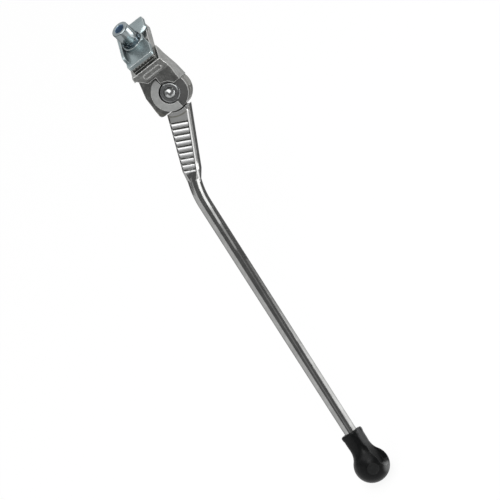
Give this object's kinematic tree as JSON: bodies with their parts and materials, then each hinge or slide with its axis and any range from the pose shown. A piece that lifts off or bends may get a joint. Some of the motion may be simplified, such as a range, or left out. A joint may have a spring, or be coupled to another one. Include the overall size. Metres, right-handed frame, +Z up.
{
  "type": "center kickstand",
  "caption": "Bicycle center kickstand: clamp head with toothed seat and clamp plate, ribbed forged leg on a riveted pivot, bent round rod and rubber foot.",
  "frame": {"origin": "axis of the clamp bolt at the seat of the head, where the chainstay clamp closes", "axes": "+Z up along the clamp bolt, +X towards the front of the bicycle, +Y to the left of the bicycle, the side the leg stands out on"},
  "size_m": [0.0778, 0.2205, 0.3117],
  "materials": {
    "head_metal": "plated casting, satin to bright",
    "leg_metal": "bright plated",
    "zinc_steel": "zinc plated, bluish satin",
    "pivot_steel": "plated, satin",
    "bush_brass": "plain bearing",
    "spring_steel": "plain wire",
    "foot_rubber": "semi-matte moulded rubber"
  },
  "bodies": {
    "head": {"mount_body": "head_metal", "pivot_rivet": "pivot_steel", "rivet_back_washer": "pivot_steel", "pivot_cup_washer": "pivot_steel", "detent_spring": "spring_steel"},
    "leg": {"leg": "leg_metal", "rubber_foot": "foot_rubber", "pivot_bush": "bush_brass"},
    "clamp": {"clamp_plate": "zinc_steel", "flat_washer": "zinc_steel", "lock_washer": "zinc_steel", "clamp_bolt": "zinc_steel"},
    "detent": {"detent_plunger": "pivot_steel"}
  },
  "joints": [
    {"name": "leg_fold", "type": "hinge", "parent": "head", "child": "leg", "pos_m": [0, 0.022, -0.03], "axis": [0, 0.8387, 0.5446], "range_deg": [0, 90]},
    {"name": "clamp_open", "type": "slide", "parent": "head", "child": "clamp", "axis": [0, 0, 1], "range_m": [0, 0.02]},
    {"name": "detent_press", "type": "slide", "parent": "head", "child": "detent", "axis": [0, 0.8387, 0.5446], "range_m": [0, 0.0009], "stiffness_N_per_m": 200, "springref_m": 0.0009, "deforming": ["detent_spring"]}
  ]
}
